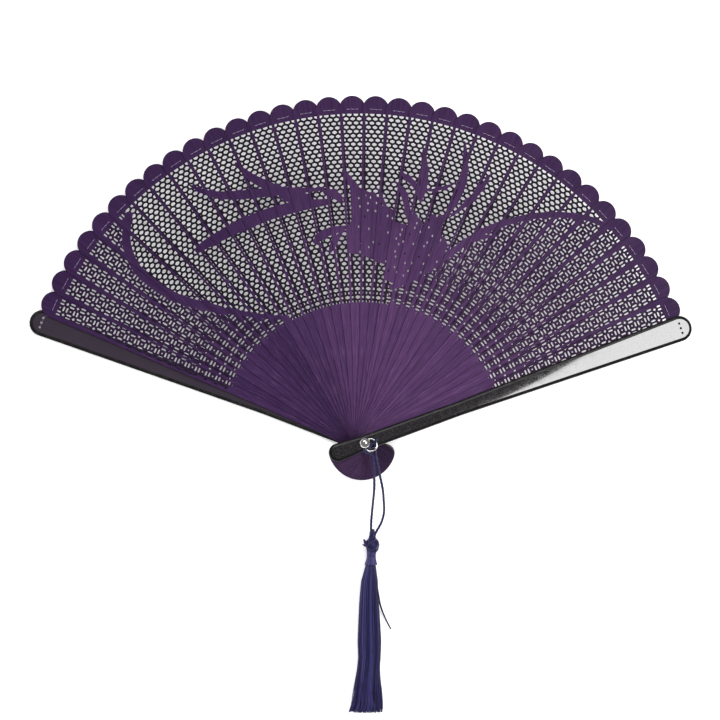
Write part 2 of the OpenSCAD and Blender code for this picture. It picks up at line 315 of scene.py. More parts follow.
# Uneven shine, from handling and from the brush: broad cloudy patches with finer ones in them.
cloud = bpy.data.node_groups.new("uneven_shine", "ShaderNodeTree")
cloud.interface.new_socket("Vector", in_out="INPUT", socket_type="NodeSocketVector")
cloud.interface.new_socket("Size", in_out="INPUT", socket_type="NodeSocketFloat").default_value = 60
cloud.interface.new_socket("Low", in_out="INPUT", socket_type="NodeSocketFloat").default_value = 0.2
cloud.interface.new_socket("High", in_out="INPUT", socket_type="NodeSocketFloat").default_value = 0.4
cloud.interface.new_socket("Roughness", in_out="OUTPUT", socket_type="NodeSocketFloat")
given = add_node(cloud, "NodeGroupInput")
patches = add_node(
    cloud, "ShaderNodeTexNoise",
    {"Vector": given.outputs["Vector"], "Scale": given.outputs["Size"], "Detail": 4, "Roughness": 0.6}
)
spread = add_node(
    cloud, "ShaderNodeMapRange",
    {
        "Value": patches.outputs["Fac"], "From Min": 0.3, "From Max": 0.7, "To Min": given.outputs["Low"],
        "To Max": given.outputs["High"]
    }
)
add_node(cloud, "NodeGroupOutput", {"Roughness": spread.outputs["Result"]})


def mixed_colour(tree, factor, low, high):
    """A colour from low, where the factor is 0, to high, where it is 1."""
    return add_node(tree, "ShaderNodeMix", {"Factor": factor, 6: low, 7: high}, data_type="RGBA").outputs[2]


def patchy_shine(tree, shader, vector, size, low, high):
    """Roughness in cloudy patches between low and high."""
    shine = add_node(
        tree, "ShaderNodeGroup", {"Vector": vector, "Size": size, "Low": low, "High": high}, node_tree=cloud
    )
    tree.links.new(shine.outputs[0], shader.inputs["Roughness"])


def raised_grain(tree, shader, height, strength, distance):
    """Fine relief on the finish's surface."""
    relief = add_node(tree, "ShaderNodeBump", {"Strength": strength, "Distance": distance, "Height": height})
    tree.links.new(relief.outputs[0], shader.inputs["Normal"])


inner_stain, tree, shader = new_finish("inner_stain", {"Specular IOR Level": 0.16})
local = add_node(tree, "ShaderNodeUVMap", uv_map="UVMap")
streaks = add_node(tree, "ShaderNodeGroup", {"Vector": local.outputs[0], "Fineness": 0.8}, node_tree=grain)
shade = mixed_colour(tree, streaks.outputs["Streak"], (0.013, 0.0075, 0.016, 1), (0.036, 0.024, 0.038, 1))
tree.links.new(shade, shader.inputs["Base Color"])
patchy_shine(tree, shader, local.outputs[0], 90, 0.5, 0.68)
raised_grain(tree, shader, streaks.outputs["Streak"], 0.25, 0.0001)

black_lacquer, tree, shader = new_finish(
    "black_lacquer", {"IOR": 1.62, "Coat Weight": 0.6, "Coat Roughness": 0.035, "Coat IOR": 1.6}
)
local = add_node(tree, "ShaderNodeUVMap", uv_map="UVMap")
flecks = add_node(
    tree, "ShaderNodeTexNoise", {"Vector": local.outputs[0], "Scale": 1300, "Detail": 2, "Roughness": 0.65}
)
fleck = add_node(tree, "ShaderNodeMapRange", {"Value": flecks.outputs["Fac"], "From Min": 0.5, "From Max": 0.68})
shade = mixed_colour(tree, fleck.outputs["Result"], (0.0018, 0.0014, 0.0022, 1), (0.042, 0.030, 0.036, 1))
tree.links.new(shade, shader.inputs["Base Color"])
patchy_shine(tree, shader, local.outputs[0], 260, 0.04, 0.12)
raised_grain(tree, shader, flecks.outputs["Fac"], 0.05, 0.0001)

rubbed_edge, tree, shader = new_finish("rubbed_edge", {"Specular IOR Level": 0.35})
local = add_node(tree, "ShaderNodeUVMap", uv_map="UVMap")
rub = add_node(tree, "ShaderNodeTexNoise", {"Vector": local.outputs[0], "Scale": 420, "Detail": 4, "Roughness": 0.7})
worn = add_node(tree, "ShaderNodeMapRange", {"Value": rub.outputs["Fac"], "From Min": 0.5, "From Max": 0.75})
shade = mixed_colour(tree, worn.outputs["Result"], (0.0025, 0.002, 0.003, 1), (0.022, 0.016, 0.018, 1))
tree.links.new(shade, shader.inputs["Base Color"])
patchy_shine(tree, shader, local.outputs[0], 200, 0.22, 0.42)

guard_rim = [
    (1.55, 0.0), (1.73, 0.06), (1.8, 0.25), (1.8, 0.95), (1.76, 1.3), (1.62, 1.62), (1.34, 1.9), (0.95, 2.13),
    (0.5, 2.29), (0.18, 2.37)
]
sheet = guard_sheet(BEVEL)
turned = [(out, GUARD_THICK - height) for out, height in guard_rim[::-1]]
rear_guard = make_blade(
    "rear_guard_blade", sheet, GUARD, BEVEL, turned, 0.0, GUARD_THICK, REAR_ANGLE,
    [black_lacquer, inner_stain, rubbed_edge], [0, 1, 2, 2], smooth=32
)
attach(rear_guard, "rear_side")
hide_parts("rear_guard")

# ---- Sticks ---------------------------------------------------------------------
# Thirty-four blades of purple-dyed wood, half a millimetre thick, pierced all through with
# honeycomb, a lattice and one spray of bamboo leaves that runs on from stick to stick.
STICK = {"reach": 188, "tip": 14.3}
COUNT, FIRST_ANGLE, STEP = 34, 155.8, 132.3 / 33
STICK_THICK, STICK_PITCH, STACK_BASE = 0.5, 0.55, 2.9
EDGE_INSET = 0.1                     # how far a stick's worn edge reaches in
FIELD_IN, FIELD_OUT, RIM = 76.0, 178.2, 1.15
SLIT_X, SLIT_HALF_X, SLIT_HALF_Y = 180.7, 0.16, 0.6


def smooth(route, steps):
    """Points on a smooth curve through a route: a Catmull-Rom cubic between each two neighbours, in equal steps."""
    p = np.vstack([route[:1], route, route[-1:]]).astype(float)
    t = (np.arange(steps) / steps)[None, :, None]
    a, b, c, d = p[:-3, None], p[1:-2, None], p[2:-1, None], p[3:, None]
    body = b + t / 2 * (c - a + t * (2 * a - 5 * b + 4 * c - d + t * (3 * (b - c) + d - a)))
    return np.vstack([body.reshape(-1, p.shape[1]), p[-1:]])


def fan_point(degrees, reach):
    """A place on the open fan, from its direction and its distance from the rivet."""
    turn = np.radians(degrees)
    return np.column_stack([reach * np.cos(turn), reach * np.sin(turn)])


def stroke(spine, width, blunt=0.0):
    """Outline of one stroke of the picture: a smooth line through (degrees, millimetres) points, with
    half the width to each side, times the sine of the share travelled, so both ends are pointed.
    blunt from 0 to 1 keeps that much of the full width at the ends."""
    line = smooth(fan_point(*np.array(spine, float).T), 4)
    way = np.gradient(line, axis=0)
    across = np.column_stack([-way[:, 1], way[:, 0]]) / np.linalg.norm(way, axis=1)[:, None]
    share = np.linspace(0.03, 0.97, len(line))
    half = width / 2 * (blunt + (1 - blunt) * np.sin(np.pi * share) ** 0.8)[:, None]
    return np.vstack([line + across * half, (line - across * half)[::-1]])


left_stem = [
    (135.4, 176), (139.4, 167), (142, 155), (142.7, 143), (142.3, 131), (141, 121), (138.8, 112), (136.2, 103),
    (133.6, 97), (130, 90), (126, 84), (120, 78)
]
right_stem = [
    (40.5, 179), (44.3, 174), (48.2, 166), (52.3, 156), (55.4, 147), (58.4, 138), (61, 129), (63.5, 119), (66.5, 108),
    (69.5, 100), (73, 93), (80, 85)
]
picture = [
    stroke(left_stem[:8], 5.0, 0.8), stroke(left_stem[6:], 2.6, 0.9), stroke(right_stem, 3.4, 0.8),
    stroke(
        [(123.8, 167), (121.6, 158), (118.6, 152), (114.6, 147.5), (109, 143.5), (104, 140.5), (97.5, 138.5)], 5.0
    ),
    stroke([(114.4, 166), (112.8, 156), (110.2, 148), (106.8, 141), (102.5, 134)], 5.0),
    stroke([(131, 136.5), (127, 135.8), (118, 134), (110, 133), (103, 132), (97.5, 131.5)], 6.6, 0.3),
    stroke([(108.5, 144), (106, 139), (102, 133.5)], 8.0, 0.2), stroke([(94.2, 148), (92.6, 142), (91.6, 134)], 2.8),
    stroke([(78.2, 163), (77.2, 153), (76.5, 143), (76.4, 134)], 4.2),
    stroke([(71.2, 173), (69.9, 163), (68.8, 152), (68.8, 140), (70, 128)], 3.6),
    stroke([(64.4, 162), (65, 152), (66.4, 142), (68.8, 131)], 3.2),
    stroke([(82.4, 148), (80.2, 145.5), (77.8, 141), (76.4, 135)], 3.2),
    stroke([(82.2, 142), (80.4, 136), (78.8, 128), (78, 122)], 3.4),
    stroke([(70.4, 149), (73, 144), (75.4, 141)], 1.8), stroke([(86.4, 138), (85, 131), (83.6, 126)], 1.8),
    stroke([(98.8, 137), (96.6, 135.5), (94.6, 131)], 4.6), stroke([(103.6, 111), (100, 115), (94, 117)], 4.6, 0.2),
    stroke([(99.6, 104), (98, 109), (95.4, 115)], 3.4),
    stroke([(92, 141), (91.6, 128), (91.8, 116), (92.4, 103)], 4.6, 0.8),
    stroke([(57.4, 133), (60.5, 127.5), (63.5, 120)], 2.4)
]
trunk = fan_point(
    *np.array(
        [
            (92.6, 137), (90, 137.5), (86.6, 134), (85.4, 129), (82.4, 127.5), (81.4, 121), (78.2, 120.5),
            (77.4, 128.5), (75.8, 126), (73.9, 122), (73.2, 129.5), (70, 130.5), (69.4, 121), (66.6, 117),
            (66.2, 104), (69.6, 102), (70, 96), (73.2, 94.5), (74, 88.5), (78, 87.5), (82, 89), (82.4, 97), (86, 99),
            (90, 101.5), (94, 102.8), (94, 117), (92.6, 119)
        ]
    ).T
)
chance = np.random.default_rng(7)
spots = fan_point(chance.uniform(67.5, 91, 150), chance.uniform(92, 134, 150))
spots = spots[in_loop(spots, trunk)]
apart = np.linalg.norm(spots[:, None] - spots[None], axis=2) + np.triu(np.full((len(spots), len(spots)), 99.0))
spots = spots[apart.min(1) > 2.6]

HONEYCOMB = np.array([(0.95, 0), (0.4, 1.22), (-0.4, 1.22), (-0.95, 0), (-0.4, -1.22), (0.4, -1.22)])
BAR_ACROSS = np.array([(0.43, -0.98), (0.43, 0.98), (0, 1.36), (-0.43, 0.98), (-0.43, -0.98), (0, -1.36)])
BAR_ALONG = np.array([(1.38, 0), (1.02, 0.43), (-1.02, 0.43), (-1.38, 0), (-1.02, -0.43), (1.02, -0.43)])
DIAMOND = np.array([(1, 0), (0, 1), (0, 1), (-1, 0), (0, -1), (0, -1)])


def between_stems(places, angle):
    """Whether places on the stick at this angle lie between the picture's two stems: each stem's
    direction is read off its route at the place's distance from the rivet."""
    reach, way = np.hypot(*places.T), np.degrees(np.arctan2(places[:, 1], places[:, 0])) + angle
    west = np.interp(reach, *np.array(left_stem)[::-1, ::-1].T)
    east = np.interp(reach, *np.array(right_stem)[::-1, ::-1].T)
    return (way < west) & (way > east)


def pierced_sheet(angle):
    """The flat of one stick, pierced: honeycomb where its middle lies between the two stems of the
    picture, lattice outside them, cut off at the rims and wherever the picture's strokes cross it."""
    x = np.arange(177.75, FIELD_IN - 2, -4.6)
    comb = np.vstack(
        [np.array([(a, b) for b in (-5.325, -1.775, 1.775, 5.325)]) for a in x]
        + [np.array([(a - 2.3, b) for b in (-3.55, 0, 3.55)]) for a in x]
    )
    x = np.arange(177.48, FIELD_IN - 3, -5.98)
    cells = [(a, b, BAR_ACROSS) for c in x for a, b in ((c - 2.05, 0), (c + 2.05, 0))]
    cells += [(a, b, BAR_ALONG) for a in x for b in (-4.0, -2.2, 2.2, 4.0)]
    cells += [
        (a, b, DIAMOND * s) for c in x for a, b, s in ((c, 0, 0.52), (c + 2.99, -3.1, 0.8), (c + 2.99, 3.1, 0.8))
    ]
    turn = np.radians(angle)
    to_fan = np.array([[math.cos(turn), math.sin(turn)], [-math.sin(turn), math.cos(turn)]])
    lattice = np.array([(a, b) for a, b, _ in cells], float)
    chosen = ~between_stems(lattice, angle)
    holes = np.concatenate(
        [
            comb[between_stems(comb, angle)][:, None] + HONEYCOMB,
            np.array([shape for _, _, shape in cells])[chosen] + lattice[chosen][:, None]
        ]
    )
    limit = half_width(holes[:, :, 0].mean(1), STICK) - RIM
    reach, aside = holes[:, :, 0], np.abs(holes[:, :, 1])
    holes = holes[(aside.min(1) < limit - 0.15) & (reach.min(1) > FIELD_IN - 1) & (reach.max(1) < FIELD_OUT + 1)]
    ends = np.array([FIELD_IN, FIELD_OUT])
    wide = half_width(ends, STICK) - RIM
    field = np.array([(ends[0], -wide[0]), (ends[1], -wide[1]), (ends[1], wide[1]), (ends[0], wide[0])])
    marks = [loop @ to_fan.T for loop in picture + [trunk]]
    marks = [
        loop for loop in marks if loop[:, 0].max() > FIELD_IN and loop[:, 1].max() > -7.5 and loop[:, 1].min() < 7.5
    ]
    flecks = spots @ to_fan.T
    flecks = flecks[(np.abs(flecks[:, 1]) < half_width(flecks[:, 0], STICK) - RIM - 0.6) & (flecks[:, 0] > FIELD_IN)]
    flecks = flecks[:, None] + np.array(
        [(0.75, 0.1), (0.2, 0.42), (-0.5, 0.3), (-0.7, -0.1), (-0.2, -0.42), (0.45, -0.3)]
    )
    slit = np.array([(-1, -1), (1, -1), (1, 1), (-1, 1)]) * (SLIT_HALF_X, SLIT_HALF_Y)
    slits = np.array([slit + (SLIT_X, y) for y in PINHOLES_Y])
    edge, bore = blade_edge(STICK, EDGE_INSET), ring(0, 0, BORE_R)

    def solid(p):
        open_field = in_convex(p, field[None]) & in_convex(p, holes)
        for loop in marks:
            open_field &= ~in_loop(p, loop)
        return in_loop(p, edge) & ~(
            open_field | in_convex(p, slits) | in_loop(p, bore) | (in_convex(p, flecks) if len(flecks) else False)
        )

    return cut_sheet([edge, bore, field, *holes, *marks, *flecks, *slits], solid)


def dyed_finish(name, depth, burn):
    """Purple dye on wood, indigo where a per-stick value is 0 and mauve where it is 1; that value is a painted
    sheen, mauve on the sticks turned to the light, plus random variation from stick to stick. It is darker
    towards the tips, with painted shade where the next stick lies on it. depth scales the whole colour, and burn is
    how black the cutting has made it where char is 1."""
    material, tree, shader = new_finish(name, {"Specular IOR Level": 0.1})

    def blend(factor, low, high):
        return mixed_colour(tree, factor, low, high)

    def dye(red, green, blue):
        return red * depth, green * depth, blue * depth, 1

    local = add_node(tree, "ShaderNodeUVMap", uv_map="UVMap").outputs[0]
    streaks = add_node(tree, "ShaderNodeGroup", {"Vector": local, "Fineness": 1.0}, node_tree=grain)
    grained = add_node(
        tree, "ShaderNodeMapRange", {"Value": streaks.outputs["Streak"], "From Min": 0.36, "From Max": 0.62}
    ).outputs["Result"]
    sheen_and_tone = add_node(tree, "ShaderNodeAttribute", attribute_name="sheen_and_tone").outputs["Fac"]
    light = blend(sheen_and_tone, dye(0.034, 0.0100, 0.060), dye(0.078, 0.0300, 0.104))
    dark = blend(sheen_and_tone, dye(0.017, 0.0040, 0.032), dye(0.042, 0.0130, 0.060))
    dyed = blend(grained, dark, light)
    pored = blend(streaks.outputs["Pores"], dyed, blend(0.35, dyed, dye(0.16, 0.085, 0.19)))
    reach = add_node(tree, "ShaderNodeSeparateXYZ", {0: local}).outputs["X"]
    far = add_node(
        tree, "ShaderNodeMapRange", {"Value": reach, "From Min": 0.06, "From Max": 0.19, "To Max": 0.85}
    ).outputs["Result"]
    aged = blend(far, pored, blend(grained, dye(0.014, 0.0034, 0.027), dye(0.027, 0.0072, 0.047)))
    held = add_node(
        tree, "ShaderNodeMapRange", {"Value": reach, "From Min": 0.001, "From Max": -0.012, "To Max": 0.45}
    ).outputs["Result"]
    aged = blend(held, aged, dye(0.016, 0.0075, 0.022))
    # Painted shade: where the next stick lies on this one the colour darkens by up to 0.7 towards near-black purple,
    # with a soft edge that reads as the next stick's shadow along its side.
    cover = add_node(tree, "ShaderNodeAttribute", attribute_name="cover").outputs["Fac"]
    painted_shade_under_next = add_node(
        tree, "ShaderNodeMapRange", {"Value": cover, "From Min": 0.25, "From Max": -0.35, "To Max": 0.7}
    ).outputs["Result"]
    laid = blend(painted_shade_under_next, aged, dye(0.004, 0.0015, 0.007))
    if burn:
        char = add_node(tree, "ShaderNodeAttribute", attribute_name="char").outputs["Fac"]
        burnt = add_node(tree, "ShaderNodeMapRange", {"Value": char, "To Max": burn}).outputs["Result"]
        laid = blend(burnt, laid, (0.003, 0.0012, 0.0045, 1))
    tree.links.new(laid, shader.inputs["Base Color"])
    place = add_node(tree, "ShaderNodeTexCoord")
    patchy_shine(tree, shader, place.outputs["Object"], 70, 0.38, 0.56)
    raised_grain(tree, shader, streaks.outputs["Streak"], 0.3, 0.00008)
    return material


dyed_wood, scorched_wood = dyed_finish("dyed_wood", 1.0, 0), dyed_finish("scorched_wood", 0.55, 0.72)

cut_wall, tree, shader = new_finish("cut_wall", {"Specular IOR Level": 0.06})
local = add_node(tree, "ShaderNodeUVMap", uv_map="UVMap")
scorch = add_node(tree, "ShaderNodeTexNoise", {"Vector": local.outputs[0], "Scale": 900, "Detail": 2})
shade = mixed_colour(tree, scorch.outputs["Fac"], (0.004, 0.0018, 0.006, 1), (0.018, 0.007, 0.022, 1))
tree.links.new(shade, shader.inputs["Base Color"])
patchy_shine(tree, shader, local.outputs[0], 300, 0.6, 0.8)

stick_edge, tree, shader = new_finish("stick_edge", {"Specular IOR Level": 0.15})
local = add_node(tree, "ShaderNodeUVMap", uv_map="UVMap")
rub = add_node(tree, "ShaderNodeTexNoise", {"Vector": local.outputs[0], "Scale": 350, "Detail": 3, "Roughness": 0.7})
worn = add_node(tree, "ShaderNodeMapRange", {"Value": rub.outputs["Fac"], "From Min": 0.42, "From Max": 0.68})
shade = mixed_colour(tree, worn.outputs["Result"], (0.014, 0.005, 0.024, 1), (0.060, 0.028, 0.075, 1))
tree.links.new(shade, shader.inputs["Base Color"])
patchy_shine(tree, shader, local.outputs[0], 300, 0.35, 0.5)

# These place the painted shade under the next stick: where that stick starts to hide this one, and how its edge widens.
COVER_FROM, COVER_WIDENS, UNCOVERED = 40, 0.07, 9    # where the next stick starts to hide this one
stick_rim = [(0.08, 0.03), (0.1, 0.09), (0.1, 0.41), (0.08, 0.47)]
unlike = chance.uniform(-0.22, 0.22, COUNT)
for k in range(1, COUNT + 1):
    angle, base = FIRST_ANGLE - (k - 1) * STEP, STACK_BASE + (k - 1) * STICK_PITCH
    # Painted sheen: sticks pointing right of about 128 degrees turn mauve, standing in for the fibres' sheen under the
    # light from the upper right; unlike adds random variation from stick to stick.
    sheen_and_tone = np.clip((128 - angle) / 45, 0.08, 0.85) + unlike[k - 1]
    stick = make_blade(
        f"fretwork_{k:02d}", pierced_sheet(angle), STICK, EDGE_INSET,
        [(out, base + height) for out, height in stick_rim], base, base + STICK_THICK, angle,
        [dyed_wood, cut_wall, stick_edge, scorched_wood], [0, 0, 1, 2, 3], shift=k * 31.7,
        marks=lambda p: {
            "sheen_and_tone": sheen_and_tone, "char": between_stems(p[:, :2], angle),
            "cover": np.where(
                p[:, 0] > COVER_FROM, p[:, 1] - half_width(p[:, 0], STICK) + COVER_WIDENS * p[:, 0], UNCOVERED
            )
        }
    )
    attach(stick, f"stick_{k:02d}")
    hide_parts(f"stick_{k:02d}")

# ---- Front guard ----------------------------------------------------------------
# The upper cover blade, the rear one's twin with its outer face up: near-black lacquer,
# polished, with flecks in it, and its edges rounded over 1.8 mm.
front_guard = make_blade(
    "front_guard_blade", sheet, GUARD, BEVEL, [(out, FRONT_BASE + height) for out, height in guard_rim], FRONT_BASE,
    FRONT_BASE + GUARD_THICK, FRONT_ANGLE, [inner_stain, black_lacquer, rubbed_edge], [0, 1, 2, 2], shift=400,
    smooth=32
)
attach(front_guard, "front_side")
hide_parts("front_guard")

# ---- Rivet ----------------------------------------------------------------------
# A plated steel rivet: flush head below, shank through the whole stack, a washer on the rear
# guard and a domed cap pressed on above. The turned parts keep their shape; they get the plating.
plated_steel, tree, shader = new_finish("plated_steel", {"Base Color": (0.83, 0.82, 0.81, 1), "Metallic": 1.0})
place = add_node(tree, "ShaderNodeTexCoord")
patchy_shine(tree, shader, place.outputs["Object"], 900, 0.06, 0.2)
dents = add_node(tree, "ShaderNodeTexNoise", {"Vector": place.outputs["Object"], "Scale": 700, "Detail": 1})
raised_grain(tree, shader, dents.outputs["Fac"], 0.35, 0.0002)
for name in ("rivet_stud", "rear_washer", "rivet_cap", "tassel_ring"):
    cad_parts[name].data.materials.clear()
    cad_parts[name].data.materials.append(plated_steel)

# ---- Linking thread --------------------------------------------------------------
# One fine pale thread holds the sticks at their spacing. On each stick it comes up through one
# slit, over the face with a dip at the middle slit, down through the last and on under the next.
THREAD_R, RUN_HIGH = 0.11, 0.045     # half its width, and half its height pressed flat on a stick
THREAD_RUN = [
    (5.6, -0.025), (4.4, -0.025), (3.2, 0.0), (2.95, 0.1), (2.8, 0.3), (2.6, 0.48), (2.2, 0.5), (1.2, 0.5),
    (0.5, 0.5), (0.15, 0.42), (-0.15, 0.42), (-0.5, 0.5), (-1.2, 0.5), (-2.2, 0.5), (-2.6, 0.48), (-2.8, 0.3),
    (-2.95, 0.1), (-3.2, 0.0), (-5, -0.025), (-7.1, -0.025)
]


def spin(lines, wide, high=None, sides=6, ply=0.0, pitch=2.0):
    """Strands round many centrelines at once (strands x stations x 3, in millimetres). At each station a
    ring stands square to the line, wide to the sides and high up and down; with ply it bulges in three
    lobes that turn once per pitch, as a laid cord does. Gives corners, faces, how far along each corner
    is, its lobe from 0 to 1, and its strand."""
    lines = np.asarray(lines, float)
    lines = lines if lines.ndim == 3 else lines[None]
    count, stations, _ = lines.shape
    way = np.gradient(lines, axis=1)
    way /= np.linalg.norm(way, axis=2)[..., None]
    across = np.zeros_like(way)
    across[:, 0] = np.cross(way[:, 0], np.where(np.abs(way[:, 0, 2:]) > 0.9, (1.0, 0, 0), (0, 0, 1.0)))
    for k in range(stations):
        if k:
            across[:, k] = across[:, k - 1]
        across[:, k] -= (across[:, k] * way[:, k]).sum(1)[:, None] * way[:, k]
        across[:, k] /= np.linalg.norm(across[:, k], axis=1)[:, None]
    over = np.cross(across, way)
    along = np.concatenate(
        [np.zeros((count, 1)), np.cumsum(np.linalg.norm(np.diff(lines, axis=1), axis=2), axis=1)], axis=1
    )
    turn = np.arange(sides) * 2 * np.pi / sides
    lobe = 0.5 + 0.5 * np.cos(3 * turn[None, None] - 2 * np.pi * along[..., None] / pitch)
    size = (1 - ply + ply * lobe)[..., None]
    wide = np.broadcast_to(wide, (count, stations))[..., None, None]
    high = wide if high is None else np.broadcast_to(high, (count, stations))[..., None, None]
    rings = lines[:, :, None] + size * (
        wide * np.cos(turn)[:, None] * across[:, :, None] + high * np.sin(turn)[:, None] * over[:, :, None]
    )
    index = np.arange(count * stations * sides).reshape(count, stations, sides)
    here, there = index[:, :-1], index[:, 1:]
    walls = np.stack([here, np.roll(here, -1, 2), np.roll(there, -1, 2), there], -1).reshape(-1, 4)
    ends = np.concatenate([index[:, 0, ::-1], index[:, -1]])
    strand = np.repeat(np.arange(count), stations * sides)
    return rings.reshape(-1, 3), [walls, ends], np.repeat(along.ravel(), sides), lobe.ravel(), strand


def on_stick(angle, route):
    """Places given as (distance from the rivet, sideways, height), turned to a blade's direction."""
    turn, route = math.radians(angle), np.asarray(route, float)
    return np.column_stack(
        [
            route[:, 0] * math.cos(turn) - route[:, 1] * math.sin(turn),
            route[:, 0] * math.sin(turn) + route[:, 1] * math.cos(turn), route[:, 2]
        ]
    )


pale_thread, tree, shader = new_finish(
    "pale_thread", {"Specular IOR Level": 0.3, "Sheen Weight": 0.3, "Sheen Roughness": 0.4}
)
along_thread = add_node(tree, "ShaderNodeAttribute", attribute_name="along")
fuzz = add_node(
    tree, "ShaderNodeTexNoise", {"W": along_thread.outputs["Fac"], "Scale": 3, "Detail": 2}, noise_dimensions="1D"
)
shade = mixed_colour(tree, fuzz.outputs["Fac"], (0.09, 0.065, 0.13, 1), (0.22, 0.17, 0.28, 1))
tree.links.new(shade, shader.inputs["Base Color"])
dull = add_node(tree, "ShaderNodeMapRange", {"Value": fuzz.outputs["Fac"], "To Min": 0.55, "To Max": 0.85})
tree.links.new(dull.outputs["Result"], shader.inputs["Roughness"])

runs = [
    (
        f"thread_{k:02d}", f"stick_{k:02d}", FIRST_ANGLE - (k - 1) * STEP, STACK_BASE + (k - 1) * STICK_PITCH, RUN_HIGH,
        [(SLIT_X, side, height) for side, height in THREAD_RUN]
    ) for k in range(1, COUNT + 1)
]
runs.append(
    (
        "thread_rear", "rear_side", REAR_ANGLE, 0, 0.12,
        [
            (183.6, 3.2, 1.6), (183.6, 2.8, 2.3), (183.4, 1.9, 2.56), (183.6, 0.7, 2.5), (183.6, 0.1, 1.9),
            (183.6, -0.1, 1.9), (183.6, -0.7, 2.5), (183.2, -1.8, 2.56), (183.6, -2.6, 2.4), (183.4, -3.4, 2.5),
            (182, -4.6, 2.56), (181, -5.7, 2.6)
        ]
    )
)
runs.append(
    (
        "thread_front", "front_side", FRONT_ANGLE, FRONT_BASE, 0.04,
        [
            (183.6, 5.8, -0.025), (183.6, 4.6, -0.025), (183.6, 3.2, -0.02), (183.6, 2.8, 0.15), (183.6, 2.6, 0.3),
            (183.6, 2.3, 0.15), (183.6, 1.9, -0.025), (183.6, 0.7, -0.025), (183.6, 0.2, 0.15), (183.6, 0, 0.3)
        ]
    )
)
for name, body, angle, base, high, route in runs:
    route = np.array(route) + (0, 0, base)
    line = smooth(route, 2)
    line[:, 2] = line[:, 2].clip(route[:, 2].min(), route[:, 2].max())
    pressed = np.where(line[:, 2] < base, 0.5 * high, high)
    points, faces, along, _, _ = spin(on_stick(angle, line), THREAD_R, pressed, sides=8)
    thread = add_piece(name, points, faces, [pale_thread], marks={"along": along}, smooth=60)
    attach(thread, body)
    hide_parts("linking_thread")

# A dab of black glue in each thread hole of the upper guard holds the thread's end.
DAB_HEIGHTS = (22.0, 22.05, 22.3, 22.6, 22.68)
dabs = np.stack([
    on_stick(FRONT_ANGLE, [(PINHOLE_X, side, height) for height in DAB_HEIGHTS]) for side in PINHOLES_Y
])
points, faces, *_ = spin(dabs, np.array([0.3, 0.62, 0.62, 0.62, 0.35]), sides=14)
glue = add_piece("thread_glue", points, faces, [rubbed_edge], uv=points[:, :2] * 0.001, smooth=50)
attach(glue, "front_side")
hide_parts("linking_thread")

# ---- Tassel cord -----------------------------------------------------------------
# A laid silk cord, 1.2 mm thick, in three plies. A loop of it is hitched through the ring and
# over its wire, and its two strands lie side by side over the tails and come down to the knot.
CORD_Z = 24.65                       # the cord's height where it leaves the ring
CORD_WIDE, CORD_HIGH = 0.74, 0.62    # half its width and height, out to the plies' crests
hitch_route = [
    (6, -7, 0), (5.9, -5, 0), (5.6, -3.4, 0.1), (5.4, -1.8, 0.5), (5.4, -0.4, 1.2), (5.6, 0.8, 2), (6.4, 2, 1.9),
    (7, 2.3, 0.9), (6.2, 1.6, 0.1), (4.9, 0.5, 0), (3.7, -1, 0), (2, -2.7, 0), (-0.2, -3.2, 0), (-0.7, -4.2, 0),
    (0.4, -5, 0), (2.8, -5.6, 0), (4.6, -7, 0)
]
left_route = [
    (4.6, -7, CORD_Z), (4.9, -13, CORD_Z), (5.2, -21, CORD_Z), (5.3, -26, 22.5), (5.4, -31, 17.5), (5.5, -36, 12.5),
    (5.5, -41, 8.5), (5.6, -46, 6), (6, -51, 5.2)
]
right_route = [
    (6, -7, CORD_Z), (7.2, -13, CORD_Z), (8.8, -20, CORD_Z), (10, -25, 22.8), (11.2, -31, 17), (12.1, -37, 11),
    (11.2, -42.5, 7.4), (9, -47, 5.8), (7, -51, 5.2)
]

silk_cord, tree, shader = new_finish(
    "silk_cord",
    {"Specular IOR Level": 0.35, "Sheen Weight": 0.08, "Sheen Roughness": 0.35, "Sheen Tint": (0.5, 0.5, 1, 1)}
)
ply = add_node(tree, "ShaderNodeAttribute", attribute_name="ply")
along_cord = add_node(tree, "ShaderNodeAttribute", attribute_name="along")
fibres = add_node(
    tree, "ShaderNodeTexNoise", {"W": along_cord.outputs["Fac"], "Scale": 7, "Detail": 2}, noise_dimensions="1D"
)
# Painted shade: the valleys between the plies are near-black and the crests lighter, as shade in the cord's grooves.
deep = mixed_colour(tree, ply.outputs["Fac"], (0.0010, 0.0009, 0.006, 1), (0.013, 0.011, 0.070, 1))
silk = mixed_colour(tree, fibres.outputs["Fac"], deep, (0.028, 0.025, 0.15, 1))
mixed = mixed_colour(tree, 0.4, deep, silk)
tree.links.new(mixed, shader.inputs["Base Color"])
gloss = add_node(tree, "ShaderNodeMapRange", {"Value": fibres.outputs["Fac"], "To Min": 0.3, "To Max": 0.6})
tree.links.new(gloss.outputs["Result"], shader.inputs["Roughness"])

route = smooth(np.array(hitch_route) + (0, 0, CORD_Z), 12)
points, faces, along, lobe, _ = spin(route, CORD_HIGH, sides=12, ply=0.18, pitch=2.4)
hitch = add_piece("cord_hitch", points, faces, [silk_cord], marks={"along": along, "ply": lobe}, smooth=70)
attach(hitch, "tassel")
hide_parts("tassel_hitch")
for name, node, cord_route in (
    ("cord_strand_left", "tassel_cord_left", left_route), ("cord_strand_right", "tassel_cord_right", right_route)
):
    route = smooth(np.array(cord_route), 16)
    points, faces, along, lobe, _ = spin(route, CORD_WIDE, CORD_HIGH, sides=12, ply=0.16, pitch=2.4)
    strand = add_piece(name, points, faces, [silk_cord], marks={"along": along, "ply": lobe}, smooth=70)
    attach(strand, "tassel")
    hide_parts(node)

